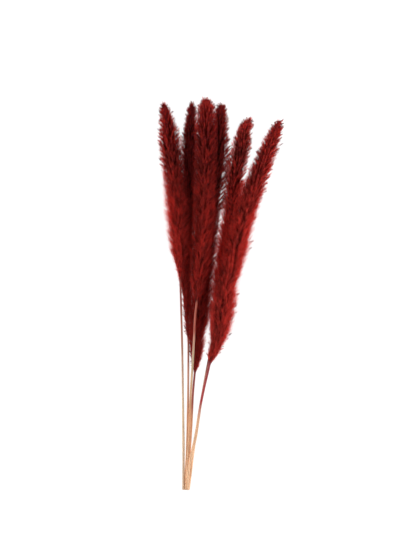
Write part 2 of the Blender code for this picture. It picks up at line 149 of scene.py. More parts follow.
GRASSES = [
    Grass(
        number=1,
        stem_route=[(-57.15, -300, 4.95), (-56.7, -254, 8.7), (-57.1, -190, 13.2),
                    (-58.4, -85, 21.0)],
        plume_route=[(-61.2, 18, 27.6), (-60.8, 60, 29.0), (-64.0, 113, 29.6), (-69.4, 174, 26.0),
                     (-76.8, 220, 20.5), (-81.5, 262, 16.0), (-88.0, 294, 14.0)],
        stem_radii=(1.7, 1.5), plume_radius=16.6, foot_taper=64, foot_power=1.35, tip_taper=78,
        tip_power=0.75, crisp_from=0.55, loose=0.26,
        shade=[(18, 0.82), (60, 0.56), (90, 0.52), (170, 0.28), (220, 0.36), (250, 0.6),
               (294, 0.8)],
        fade=(0.34, -0.36), colours=BRIGHT_DYE,
        stem_colours=[(-300, BEIGE), (-170, PALE_BEIGE), (-117, PINK_BEIGE), (-62, DULL_BROWN),
                      (-25, RUST_BROWN), (0, DARK_RUST), (20, DARK_RUST)],
        strays=[(-88.7, 293.8), (-95.2, 255.5), (-94.1, 232.6), (-92.3, 276.9), (-74.8, 280.8),
                (-69.3, 263.9), (-63.2, 248.6), (-66.6, 245.6), (-83.1, 284.6), (-93.3, 211.1),
                (-90.3, 200.4)],
        edge=[(18, 1, 0.6, 0), (190, 1, 0.4, 0), (215, 1, 0.5, 1), (294, 1, 0.5, 1)],
        haze=[((-60.2, 244), (-59.4, 220), 8, 1), ((-59.3, 222), (-60.0, 130), 34, 0),
              ((-86.0, 190), (-83.0, 118), 14, 1), ((-77.0, 282), (-68.5, 254), 6, 1)],
        bulges=[(34, -1, -0.4, 16), (100, -1, 0.06, 20), (150, -1, 0.1, 34), (235, -1, 0.07, 45),
                (272, -1, 0.1, 13), (272, 1, 0.12, 13), (246, 1, 0.2, 12)]),
    Grass(
        number=2,
        stem_route=[(-55.55, -300, 1.8), (-53.6, -277, 2.5), (-52.0, -254, 3.3),
                    (-49.8, -162, 6.4)],
        plume_route=[(-49.2, -72, 9.2), (-51.8, -40, 9.6), (-53.1, 5, 9.8), (-52.0, 67, 9.9),
                     (-49.7, 144, 9.9), (-46.6, 220, 9.9), (-45.6, 262, 10.2), (-42.8, 294, 11.0)],
        stem_radii=(1.7, 1.55), plume_radius=13.0, foot_taper=160, foot_power=1.3, tip_taper=75,
        tip_power=0.7, crisp_from=0.5, loose=0.3,
        shade=[(-72, 0.98), (0, 1.02), (35, 0.94), (60, 0.44), (120, 0.38), (200, 0.72),
               (240, 0.44), (294, 0.24)],
        fade=(0.05, 0.0), colours=DARK_DYE_AND_SHADE,
        stem_colours=[(-300, TAN), (-200, ORANGE_TAN), (-125, PINK_TAN), (-92, BROWN),
                      (-70, BROWN)],
        strays=[(-42.7, 295.3), (-49.4, 281.5), (-55.2, 264.7), (-57.4, 248.6), (-39, 276.9),
                (-58.9, -2.3), (-57.4, -15.3), (-55.8, -28.3), (-52.8, -49), (-45.9, -70.4),
                (-45.1, -85.7)],
        edge=[(-72, 1, 0.2, 0), (-10, 0.8, 0.3, 0), (20, 0, 0.4, 0), (235, 0, 0, 0),
              (262, 0.8, 0.1, 0.8), (294, 0.8, 0.2, 0.8)],
        haze=[((-60.6, 244), (-61.2, 214), 9, 1), ((-51.8, 285), (-55.0, 254), 6, 1),
              ((-35.6, 262), (-37.6, 110), 50, 0), ((-43.4, 24), (-44.4, -62), 28, 0)],
        bulges=[(-38, -1, -0.5, 14), (-6, -1, -0.42, 17)],
        bare=(-72, 6, -1)),
    Grass(
        number=3,
        stem_route=[(-53.6, -300, 5.2), (-51.7, -277, 7.2), (-49.9, -254, 9.2), (-46.0, -162, 17.0),
                    (-40.4, -70, 25.2), (-38.6, -34, 28.6)],
        plume_route=[(-36.4, -14, 30.4), (-33.6, 24, 32.6), (-29.8, 67, 33.6), (-25.4, 120, 33.6),
                     (-24.4, 180, 33.6), (-22.2, 250, 33.4), (-21.6, 300, 33.0)],
        stem_radii=(1.75, 1.6), plume_radius=16.2, foot_taper=85, foot_power=0.7, tip_taper=38,
        tip_power=0.5, crisp_from=0.62, loose=0.26,
        shade=[(-14, 0.34), (60, 0.43), (130, 0.45), (195, 0.24), (235, 0.42), (270, 0.78),
               (300, 0.9)],
        fade=(-0.28, -0.2), colours=BRIGHT_DYE,
        stem_colours=[(-300, TAN), (-180, ORANGE_TAN), (-95, GREEN_TAN), (-66, PINK_TAN),
                      (-48, RUST), (-14, RUST)],
        strays=[(-24.3, 299.1), (-30.9, 289.9), (-34.7, 280), (-17.3, 296.8), (-10.6, 291.5),
                (-6, 283.8)],
        edge=[(-14, 0, 0.6, 0), (235, 0, 0.5, 0), (262, 0.6, 0.6, 0), (288, 1, 0.8, 1),
              (300, 1, 0.8, 1)],
        haze=[((-36.8, 276), (-37.6, 256), 6, 1), ((-36.8, 262), (-39.0, 120), 38, 0),
              ((-33.6, 260), (-34.4, 222), 12, 0)],
        bulges=[(298, -1, -0.1, 8), (298, 1, -0.1, 8)]),
    Grass(
        number=4,
        stem_route=[(-52.0, -300, 1.85), (-49.2, -277, 2.9), (-47.2, -240, 4.4), (-44.6, -200, 6.8),
                    (-41.6, -145, 9.6)],
        plume_route=[(-39.4, -121, 10.6), (-35.8, -72, 11.2), (-30.2, -9, 11.4), (-22.4, 67, 11.5),
                     (-13.0, 144, 11.5), (-4.0, 220, 11.6), (-0.6, 266, 12.0), (1.6, 293, 12.6)],
        stem_radii=(1.7, 1.6), plume_radius=15.4, foot_taper=110, foot_power=0.8, tip_taper=68,
        tip_power=0.55, crisp_from=0.48, loose=0.55,
        shade=[(-121, 0.84), (-70, 0.74), (-40, 0.58), (60, 0.12), (90, 0.04), (200, 0.02),
               (250, 0.42), (293, 0.7)],
        fade=(-0.05, 0.08), colours=DARK_DYE_AND_SHADE,
        stem_colours=[(-300, ORANGE_TAN), (-190, ORANGE_TAN), (-165, RUST), (-120, DYED_RED)],
        strays=[(2, 291.8), (7.5, 286.1), (10.4, 270.8), (12.4, 257), (9, 249.4), (12.4, 227.2),
                (10.9, 221.8), (11.2, 237.9)],
        edge=[(-121, 0.5, 0.2, 1), (-40, 0, 0.2, 1), (40, 0, 0, 1), (250, 0, 0, 1),
              (293, 0.8, 0.3, 1)],
        haze=[((6.4, 216), (1.6, 186), 16, 0), ((0.4, 184), (-3.0, 140), 16, 0),
              ((3.6, 142), (-4.4, 90), 5, 1), ((-6.6, 86), (-12.6, 10), 12, 1),
              ((-12.4, 12), (-16.2, -34), 12, 0.8), ((-47.6, 8), (-47.2, -72), 22, 0)],
        bulges=[(-62, 1, -0.26, 10), (-97, 1, 0.2, 18), (188, 1, 0.2, 32), (146, 1, 0.34, 16),
                (170, 1, 0.14, 24), (206, 1, 0.26, 18), (247, 1, -0.1, 9)]),
    Grass(
        number=5,
        stem_route=[(-48.65, -300, 1.6), (-45.6, -277, 2.4), (-43.0, -254, 3.3),
                    (-29.6, -162, 6.8)],
        plume_route=[(-13.0, -72, 10.0), (-6.0, -40, 10.2), (-0.8, -9, 10.3), (8.4, 67, 10.4),
                     (16.4, 120, 10.4), (21.0, 174, 10.4), (31.4, 222, 10.6), (36.9, 251, 11.0),
                     (44.8, 271, 11.6)],
        stem_radii=(1.5, 1.4), plume_radius=14.2, foot_taper=100, foot_power=0.7, tip_taper=50,
        tip_power=0.5, crisp_from=0.52, loose=0.6,
        # Painted light: shade above 1 lifts the lower part, which lies in plume 6's shadow.
        shade=[(-72, 1.1), (60, 1.3), (105, 1.3), (160, 1.1), (190, 0.5), (220, 0.24),
               (240, 0.37), (271, 0.58)],
        fade=(0.0, 0.06), colours=MIDDLE_DYE_AND_LIGHT,
        stem_colours=[(-300, TAN), (-150, TAN), (-100, DYED_RED), (-70, DYED_RED)],
        strays=[(35.3, 265.5), (44.8, 271.1), (49.1, 260.9), (46.1, 238.4), (45.4, 224.1),
                (40.2, 203.5), (28.9, 257), (22.2, 242.5), (20, 234.1)],
        edge=[(-72, 0, 0.8, 0), (100, 0.9, 1, 0), (150, 1, 0.8, 0), (200, 1, 0.3, 1),
              (240, 1, 0.4, 1), (271, 1, 0.8, 1)],
        haze=[((37.5, 178), (27.0, 138), 34, 0.2), ((18.4, 218), (17.4, 194), 8, 0.2),
              ((4.0, 142), (-4.2, 90), 4, 1), ((-7.0, 86), (-13.4, 4), 12, 1),
              ((-14.4, -8), (-16.8, -34), 10, 0.3)],
        bulges=[(204, -1, 0.4, 18), (248, -1, 0.1, 16), (198, 1, 0.08, 14)]),
    Grass(
        number=6,
        stem_route=[(-50.0, -300, 7.3), (-49.3, -277, 10.9), (-45.9, -254, 13.3),
                    (-39.0, -223, 15.9), (-29.1, -162, 20.8)],
        plume_route=[(-16.8, -107, 25.6), (-4.0, -70, 28.4), (2.2, -38, 30.8), (10.6, 18, 31.8),
                     (20.6, 55, 31.2), (34.6, 110, 29.4), (52.4, 165, 26.2), (72.6, 220, 20.6),
                     (91.8, 267, 16.4)],
        stem_radii=(2.1, 1.9), plume_radius=18.2, foot_taper=92, foot_power=0.7, tip_taper=92,
        tip_power=0.6, crisp_from=0.66, loose=0.26,
        shade=[(-107, 0.31), (0, 0.47), (110, 0.5), (150, 0.62), (200, 0.61), (267, 0.9)],
        fade=(-0.16, 0.8), colours=WARM_DYE_AND_LIGHT,
        stem_colours=[(-300, TAN), (-190, SAND), (-178, PINK_TAN), (-162, CRIMSON), (-140, CRIMSON),
                      (-107, DARK_CRIMSON)],
        strays=[(91, 266.5), (83.4, 262.4), (77.9, 256.3), (73.6, 250.2), (92, 241.7),
                (92.9, 232.6), (87.4, 218.8), (63.2, 231), (56.5, 220.3), (52.2, 208.1),
                (70.8, 161.3), (49.4, 84.9), (27.1, 3.8), (24, -13.8), (15.1, -56.6), (23.1, -24.5),
                (46.7, 73.4)],
        edge=[(-107, 0.8, 0.6, 1), (-35, 0.8, 0.6, 1), (-10, 0.3, 0.6, 1), (120, 0, 0.6, 1),
              (175, 1, 0.6, 1), (267, 1, 0.8, 1)],
        haze=[((39.0, 178), (29.0, 140), 22, 0.2), ((77.5, 259), (63.5, 235), 7, 1)],
        bulges=[(14, 1, -0.19, 16), (-12, 1, 0.06, 8), (-66, 1, -0.05, 12), (145, 1, -0.07, 36),
                (-62, -1, -0.3, 11), (240, -1, 0.1, 18), (200, -1, -0.08, 14),
                (6, -1, -0.16, 14)]),
]


# Routes and outlines, as in the CAD model

def smooth_route(route, y):
    """Centre points at the heights y: cubic Hermite curves through the route's points."""
    points = np.array(route) * MM
    knots = points[:, 1]
    slopes = np.gradient(points, knots, axis=0)
    i = np.clip(np.searchsorted(knots, y) - 1, 0, len(knots) - 2)
    step = (knots[i + 1] - knots[i])[:, None]
    t = (y[:, None] - knots[i][:, None]) / step
    start = points[i] * (1 + 2 * t) * (1 - t) ** 2 + slopes[i] * step * t * (1 - t) ** 2
    end = points[i + 1] * (3 - 2 * t) * t ** 2 + slopes[i + 1] * step * (t - 1) * t ** 2
    return start + end


def swell(distance, taper, power):
    """Rises from 0 to 1 as distance grows from 0 to taper, as a power of a quarter sine."""
    part = np.clip(distance / (taper * MM), 0, 1)
    return np.sin(part * np.pi / 2) ** power


def half_width(grass, y):
    """The plume's half width across the fan at the heights y."""
    shape = (swell(y - grass.foot, grass.foot_taper, grass.foot_power)
             * swell(grass.tip - y, grass.tip_taper, grass.tip_power))
    return grass.plume_radius * MM * shape


def fullness(grass, y, turn):
    """1 plus the bulges near a height and angle: each fades as a bell curve along the plume."""
    full = np.ones(np.broadcast(y, turn).shape)
    for height, side, amount, length in grass.bulges:
        near = np.exp(-((y / MM - height) / length) ** 2)
        full = full + amount * near * np.clip(side * np.cos(turn) * 1.4, 0, 1)
    return full


def painted_fringe_light(grass, y, turn):
    """Painted light on the hair ends, how pale they are: from the table's left or right value
    beside and below, to its top value, by the square of the sine of the angle above the side."""
    places, left, top, right = np.array(grass.edge).T
    beside = np.where(np.cos(turn) < 0, np.interp(y / MM, places, left),
                      np.interp(y / MM, places, right))
    upper = np.clip(np.sin(turn), 0, 1) ** 2
    return beside * (1 - upper) + np.interp(y / MM, places, top) * upper


def angle_round(grass, points):
    """The angle round the plume's oval section at which points lie."""
    offset = points - smooth_route(grass.plume_route, points[:, 1])
    return np.arctan2(offset[:, 2] / FLATNESS, offset[:, 0])


def in_plume(grass, y, radius, turn):
    """Points at a height y, a radius and an angle round the plume's flattened oval section."""
    shape = np.broadcast(y, radius, turn).shape
    y, radius, turn = (np.broadcast_to(v, shape) for v in (y, radius, turn))
    centre = smooth_route(grass.plume_route, y.ravel()).reshape(shape + (3,))
    out = np.stack([np.cos(turn), np.zeros(shape), FLATNESS * np.sin(turn)], axis=-1)
    return centre + radius[..., None] * out


def unit(v):
    return v / np.maximum(np.linalg.norm(v, axis=-1, keepdims=True), 1e-12)


def over_surface(points):
    """Lifts what would dip under the surface: z becomes a soft maximum of z and the clearance."""
    soft = 0.8 * MM
    depth = (points[..., 2] - SURFACE_CLEARANCE) / soft
    lifted = np.logaddexp(0, np.clip(depth, -30, 30)) * soft
    points[..., 2] = np.where(depth < 30, lifted + SURFACE_CLEARANCE, points[..., 2])
    return points


# Meshes

@dataclass
class Skin:
    """Triangles of one finish, with each point's place on the two-way colour chart."""
    points: np.ndarray
    triangles: np.ndarray
    chart: np.ndarray
    finish: int


def make_piece(name, skins, finishes):
    """One object from skins. Its chart is the UV map that its materials read."""
    offsets = np.cumsum([0] + [len(s.points) for s in skins[:-1]])
    points = np.concatenate([s.points for s in skins])
    corners = np.concatenate([s.triangles + o for s, o in zip(skins, offsets)]).astype(np.int32)
    chart = np.concatenate([s.chart for s in skins])
    finish = np.concatenate([np.full(len(s.triangles), s.finish) for s in skins])
    mesh = bpy.data.meshes.new(name)
    mesh.vertices.add(len(points))
    mesh.vertices.foreach_set("co", points.astype(np.float32).ravel())
    mesh.loops.add(corners.size)
    mesh.loops.foreach_set("vertex_index", corners.ravel())
    mesh.polygons.add(len(corners))
    mesh.polygons.foreach_set("loop_start", np.arange(0, corners.size, 3, dtype=np.int32))
    mesh.polygons.foreach_set("material_index", finish.astype(np.int32))
    mesh.update(calc_edges=True)
    uv = mesh.uv_layers.new(name="OFBake")
    uv.uv.foreach_set("vector", chart[corners.ravel()].astype(np.float32).ravel())
    for material in finishes:
        mesh.materials.append(material)
    mesh.shade_smooth()
    piece = bpy.data.objects.new(name, mesh)
    bpy.context.scene.collection.objects.link(piece)
    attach(piece, "root")
    return piece


def tube_faces(rings, sides):
    """Triangles of a wall of rings of points, and round a point that closes each end.

    The points are ring after ring, and then the two end points.
    """
    r, k = np.indices((rings - 1, sides))
    a, b = r * sides + k, r * sides + (k + 1) % sides
    c, d = a + sides, b + sides
    wall = np.stack([np.stack([a, b, d], -1), np.stack([a, d, c], -1)], 2).reshape(-1, 3)
    k = np.arange(sides)
    after = (k + 1) % sides
    low, high, last = rings * sides, rings * sides + 1, (rings - 1) * sides
    return np.concatenate([wall, np.stack([after, k, np.full(sides, low)], -1),
                           np.stack([last + k, last + after, np.full(sides, high)], -1)])


def repeated(faces, count):
    """The same faces for each of count shapes, whose points follow one another."""
    return (faces + (faces.max() + 1) * np.arange(count)[:, None, None]).reshape(-1, 3)


def tube(points, radii, sides, chart_u, finish):
    """Tubes round many paths at once: points (tubes, rings, 3), radii (tubes, rings).

    Each ring is a circle of that radius across the path, and each end is closed by a point.
    """
    count, rings, _ = points.shape
    along = unit(np.gradient(points, axis=1))
    side = unit(np.cross(along, [0.31, 0.17, 0.93]))
    up = np.cross(side, along)
    turn = 2 * np.pi * np.arange(sides) / sides
    ring = (np.cos(turn)[:, None] * side[:, :, None, :] + np.sin(turn)[:, None] * up[:, :, None, :])
    skin = points[:, :, None, :] + radii[:, :, None, None] * ring
    ends = np.stack([points[:, 0], points[:, -1]], axis=1)
    all_points = np.concatenate([skin.reshape(count, -1, 3), ends], axis=1)
    v = np.concatenate([np.repeat(np.linspace(0.02, 0.98, rings), sides), [0.01, 0.99]])
    aside = np.concatenate([np.tile(np.linspace(-1, 1, sides), rings), [0, 0]])
    u = chart_u[:, None] + 0.012 * aside
    chart = np.stack([np.clip(u, 0.01, 0.99), np.broadcast_to(v, u.shape)], -1)
    triangles = repeated(tube_faces(rings, sides), count)
    return Skin(all_points.reshape(-1, 3), triangles, chart.reshape(-1, 2), finish)


# Plumes

def cad_tufts(grass):
    """Where the CAD plume's tufts end: height, radius and angle at each point of its grid.

    Even grid points are tufts. The odd ones between them get shorter branches of their own.
    """
    rng = np.random.default_rng(40 + grass.number)
    count = int(np.ceil((grass.tip - CORE_POINT - grass.foot) / ROW_STEP)) + 1
    rows = np.linspace(grass.foot, grass.tip - CORE_POINT, count)
    row, column = np.indices((count, COLUMNS))
    tuft = ((row + column) % 2 == 0) & (row > 0) & (row < count - 1)
    lean = TUFT_LENGTH * rng.uniform(*TUFT_SPREAD, row.shape)
    reach = rng.uniform(*TUFT_REACH, row.shape)
    stray = rng.normal(0, TUFT_STRAY, row.shape)
    y = rows[row] + lean * np.clip((grass.tip - rows[row]) / TIP_ROOM, 0, 1)
    half = half_width(grass, y)
    turn = 2 * np.pi * (column + TWIST * row + stray * np.where(tuft, 1, 2.5)) / COLUMNS
    return dict(y=y.ravel(), reach=reach.ravel(), half=half.ravel(), turn=turn.ravel(),
                tuft=tuft.ravel())


@dataclass
class Branches:
    """Branches of a plume: root height, end height, end radius and angle of each."""
    grass: Grass
    root_y: np.ndarray
    end_y: np.ndarray
    end_radius: np.ndarray
    turn: np.ndarray
    tuft: np.ndarray
    stray: np.ndarray
    haze: np.ndarray
    pale: np.ndarray  # painted light: how pale the hair ends are, 0 to 1
    start: np.ndarray # of each spike: the share along the branch where it starts,
    lean: np.ndarray  # the angle by which it leans out from the branch,
    aside: np.ndarray # its sideways share,
    reach: np.ndarray # and its length

    def at(self, i, s):
        """Points at the share s along the branches i.

        The height grows evenly, and the radius as a power just over 1 of the share, so that
        a branch first hugs the stalk and then spreads.
        """
        y = self.root_y[i] + (self.end_y[i] - self.root_y[i]) * s
        radius = 0.6 * MM + (self.end_radius[i] - 0.6 * MM) * np.maximum(s, 0) ** 1.15
        return in_plume(self.grass, y, radius, self.turn[i])

    def along(self, i, s):
        """Unit direction of the branches there."""
        return unit(self.at(i, s + 0.03) - self.at(i, s - 0.03))

    def spike(self, i, which):
        """Base points and unit directions of the spikes of the branches i."""
        along, out, side = self.frame(i, 1)
        lean, aside = self.lean[i, which][:, None], self.aside[i, which][:, None]
        way = unit(np.cos(lean) * along + np.sin(lean) * out + aside * side)
        return self.at(i, self.start[i, which]), way

    def bare(self):
        """Which branches are on the side that has spikes alone."""
        if not self.grass.bare:
            return np.zeros(len(self.turn), bool)
        low, high, side = self.grass.bare
        inside = (self.end_y > low * MM) & (self.end_y < high * MM)
        return inside & (side * np.cos(self.turn) > 0.3) & ~self.haze

    def frame(self, i, s):
        """Three unit directions at right angles: along the branches, outward, and sideways."""
        along = self.along(i, s)
        turn = self.turn[i]
        out = np.stack([np.cos(turn), np.zeros(len(i)), np.sin(turn)], -1)
        out = unit(out - along * (out * along).sum(-1, keepdims=True))
        return along, out, np.cross(along, out)


def grow_branches(grass, rng):
    """The branches at the CAD plume's tufts and between them, the crown, and the strays."""
    tufts = cad_tufts(grass)
    share = np.where(tufts["tuft"], BRANCH_SHARE, FILLER_SHARE)
    end_y = tufts["y"] - 4 * MM
    root_y = np.maximum(end_y - BRANCH_RISE, grass.foot - 1 * MM - 2 * MM * tufts["reach"])
    radius = np.maximum(share * tufts["reach"] * tufts["half"], 1.2 * MM)
    lines = [np.linspace(low, high, count) for low, high, count, _ in grass.haze]
    groups = ((root_y, end_y, radius, tufts["turn"]), crown_branches(grass, rng),
              stray_branches(grass, np.array(grass.strays), rng),
              stray_branches(grass, np.concatenate(lines), rng))
    kind = np.repeat(np.arange(4), [len(g[0]) for g in groups])
    root_y, end_y, radius, turn = (np.concatenate(parts) for parts in zip(*groups))
    radius = radius * np.where(kind < 2, fullness(grass, end_y, turn), 1)
    tuft = np.concatenate([tufts["tuft"], np.ones((kind > 0).sum(), bool)])
    slim = 1 - np.clip(half_width(grass, end_y) / (grass.plume_radius * MM), 0, 1)
    below_tip = np.clip((grass.tip - end_y) / (9 * MM), 0.1, 1)
    many = (len(kind), SPIKES)
    start = rng.uniform(0.88, 1.0, many) - [0, 0.08]
    lean = np.radians(4 + 36 * slim * below_tip + rng.normal(0, 8, len(kind)))[:, None]
    lean = lean + rng.normal(0, 0.10, many)
    aside = rng.normal(0, 0.16, many)
    reach = MM * (rng.uniform(*SPIKE_LENGTH, many) + 1.4 * slim[:, None])
    # Painted light on the hair ends: full on the strays, from the edge table elsewhere, and the
    # haze lines' own values on theirs.
    pale = np.where(kind == 2, 1, painted_fringe_light(grass, end_y, turn))
    *_, counts, haze_fringe_light = zip(*grass.haze)
    pale[kind == 3] = np.repeat(haze_fringe_light, counts)
    return Branches(grass, root_y, end_y, radius, turn, tuft, kind >= 2, kind == 3, pale, start,
                    lean, aside, reach)


def crown_branches(grass, rng):
    """Steep branches that fill the tip: they start on the stalk and end near its line."""
    end_y = grass.tip - MM * (4 + 20 * rng.random(CROWN_BRANCHES) ** 1.5)
    root_y = end_y - MM * rng.uniform(16, 24, CROWN_BRANCHES)
    radius = half_width(grass, end_y) * rng.uniform(0.1, 0.85, CROWN_BRANCHES)
    turn = rng.uniform(0, 2 * np.pi, CROWN_BRANCHES)
    return root_y, end_y, radius, turn


def stray_branches(grass, places, rng):
    """Branches that end at the given places, beside the stalk and level with it."""
    x, end_y = places.T * MM
    end_y = end_y - 4.5 * MM
    offset = x - smooth_route(grass.plume_route, end_y)[:, 0]
    offset = offset - 1.2 * MM * np.sign(offset)
    root_y = np.maximum(end_y - MM * rng.uniform(17, 22, len(x)), grass.foot)
    turn = np.where(offset > 0, 0, np.pi) + rng.normal(0, 0.15, len(x))
    return root_y, end_y, np.abs(offset), turn


def crispness(grass, y):
    """0 where the plume's down is long and soft, 1 towards its tip, where it is short."""
    share = (y - grass.foot) / (grass.tip - grass.foot)
    return np.clip((share - grass.crisp_from + 0.12) / 0.3, 0, 1)


def shade_along(grass, y):
    places, shades = np.array(grass.shade).T
    return np.interp(y / MM, places, shades)


@dataclass
class Lobes:
    """Big tufts of many branches: the end's height and angle, the length and the half width."""
    end_y: np.ndarray
    turn: np.ndarray
    length: np.ndarray
    half_width: np.ndarray

    def height(self, y, turn):
        """How high the highest lobe stands at a height and angle, and which one it is.

        A lobe rises evenly from 0 at its root to 1 at its end, less the square of the distance
        from its middle line over its half width, which narrows towards the end.
        """
        along = (y[:, None] - self.end_y) / self.length + 1
        aside = np.abs((turn[:, None] - self.turn + np.pi) % (2 * np.pi) - np.pi)
        across = aside / (self.half_width * (1.2 - 0.7 * np.clip(along, 0, 1)))
        rise = np.where((along >= 0) & (along <= 1), along - across ** 2, -1)
        best = rise.argmax(axis=1)
        return np.clip(rise[np.arange(len(y)), best], -0.4, 1), best


def grow_lobes(grass, rng):
    """Rows of lobes all along the plume: long and few round it below, short and more above."""
    rows = []
    y = grass.foot + 8 * MM
    while y < grass.tip + 6 * MM:
        crisp = crispness(grass, y)
        step = (25 - 13 * crisp) * MM
        count = 5 if crisp < 0.5 else 6
        turn = rng.uniform(0, 2 * np.pi) + 2 * np.pi * np.arange(count) / count
        rows.append(np.stack([y + step * rng.uniform(-0.35, 0.35, count),
                              turn + rng.normal(0, 0.14, count),
                              1.7 * step * rng.uniform(0.85, 1.15, count),
                              np.full(count, 0.6 * 2 * np.pi / count)]))
        y += step
    return Lobes(*np.concatenate(rows, axis=1))


def mottle_and_side_light(grass, points, rng):
    """Uneven dye in three slow waves along and round the plume, and painted light and shade on its
    two sides.
    """
    y = points[:, 1] / MM
    turn = angle_round(grass, points)
    phase = rng.uniform(0, 2 * np.pi, 3)
    waves = (0.12 * np.sin(2 * np.pi * y / 47 + turn + phase[0])
             + 0.10 * np.sin(2 * np.pi * y / 29 - 2 * turn + phase[1])
             + 0.08 * np.sin(2 * np.pi * y / 17 + 2 * turn + phase[2]))
    # Painted light and shade: each side lighter or darker as a side lamp or a neighbouring plume
    # would light or shade it.
    left, right = grass.fade
    sideways = np.cos(turn)
    return waves + left * np.clip(-sideways, 0, 1) + right * np.clip(sideways, 0, 1)


def brushed(grass, ends, branch_reach, loose):
    """Hair ends drawn in to the outline: past BRUSHED_FROM of it, BRUSHED_KEPT of the rest stays.

    The loose hairs stay out where they grew, which makes the thin fringe round the outline.
    branch_reach, near 1, makes some tufts stand out more than others.
    """
    centre = in_plume(grass, ends[:, 1], 0.0, 0.0)
    offset = ends - centre
    half = half_width(grass, ends[:, 1])
    slim = 1 - np.clip(half / (grass.plume_radius * MM), 0, 1)
    limit = np.maximum(half, 2.4 * MM) * branch_reach * (1 - 0.22 * slim)
    limit = limit * fullness(grass, ends[:, 1], angle_round(grass, ends))
    reach = np.hypot(offset[:, 0], offset[:, 2] / FLATNESS) / limit
    kept = np.where(loose, 0.95, BRUSHED_KEPT)
    drawn = np.where(reach > BRUSHED_FROM, BRUSHED_FROM + kept * (reach - BRUSHED_FROM), reach)
    return centre + offset * (drawn / np.maximum(reach, 1e-6))[:, None]


